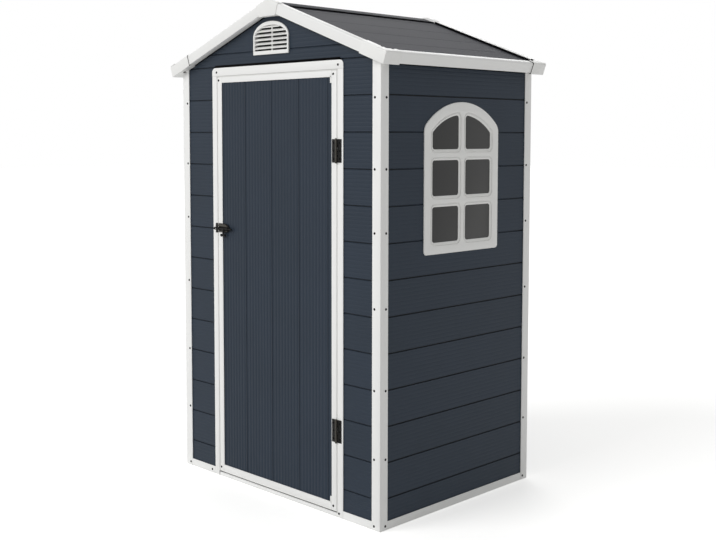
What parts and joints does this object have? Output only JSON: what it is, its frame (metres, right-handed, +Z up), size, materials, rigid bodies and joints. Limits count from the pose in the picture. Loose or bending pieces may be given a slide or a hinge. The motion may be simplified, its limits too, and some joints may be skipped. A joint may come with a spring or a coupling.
{
  "type": "plastic garden shed",
  "caption": "Small gabled storage shed of dark resin boards in white channel frames, with a hinged single door, an arched side window and louvred gable vents.",
  "frame": {"origin": "on the ground, under the middle of the shed", "axes": "+Z up; -Y is the front with the door; +X is the viewer's right, the wall with the window"},
  "size_m": [1.282, 0.955, 1.9701],
  "materials": {
    "boards_grey": "dark blue-grey resin boards, faintly ribbed",
    "frame_white": "off-white extruded and moulded resin, satin",
    "roof_grey": "mid-grey resin roof boards, faintly ribbed",
    "glazing": "dark tinted plastic glazing sheet",
    "hardware_black": "black powder-coated steel",
    "seal_black": "black rubber draught strip"
  },
  "bodies": {
    "shed": {"base_rail_front_left": "frame_white", "base_rail_front_right": "frame_white", "base_rail_right": "frame_white", "base_rail_rear": "frame_white", "base_rail_left": "frame_white", "door_threshold": "frame_white", "corner_post_front_right": "frame_white", "corner_post_rear_right": "frame_white", "corner_post_rear_left": "frame_white", "corner_post_front_left": "frame_white", "front_wall_left": "boards_grey", "front_wall_right": "boards_grey", "front_gable": "boards_grey", "right_wall": "boards_grey", "rear_wall": "boards_grey", "rear_gable": "boards_grey", "left_wall": "boards_grey", "door_jamb_left": "frame_white", "door_jamb_right": "frame_white", "door_head": "frame_white", "door_head_seal": "seal_black", "window_trim_outer": "frame_white", "window_glazing": "glazing", "window_trim_inner": "frame_white", "front_vent": "frame_white", "rear_vent": "frame_white", "roof_panel_right": "roof_grey", "roof_panel_left": "roof_grey", "ridge_cover": "roof_grey", "front_barge_right": "frame_white", "front_barge_left": "frame_white", "rear_barge_right": "frame_white", "rear_barge_left": "frame_white", "eave_trim_right": "frame_white", "eave_trim_left": "frame_white", "corner_cap_front_right": "frame_white", "corner_cap_front_left": "frame_white", "corner_cap_rear_right": "frame_white", "corner_cap_rear_left": "frame_white", "peak_cap_front": "frame_white", "peak_cap_rear": "frame_white", "hinge_jamb_plates": "hardware_black", "latch_keeper": "hardware_black"},
    "door": {"door_sheet": "boards_grey", "door_stile_hinge": "frame_white", "door_stile_latch": "frame_white", "door_rail_top": "frame_white", "door_rail_bottom": "frame_white", "hinge_door_plates": "hardware_black", "latch_plate": "hardware_black"},
    "bolt": {"latch_bolt": "hardware_black"}
  },
  "joints": [
    {"name": "door_hinge", "type": "hinge", "parent": "shed", "child": "door", "pos_m": [0.3635, -0.454, 0], "axis": [0, 0, 1], "range_deg": [0, 110]},
    {"name": "bolt_slide", "type": "slide", "parent": "door", "child": "bolt", "axis": [-1, 0, 0], "range_m": [0, 0.018]}
  ]
}
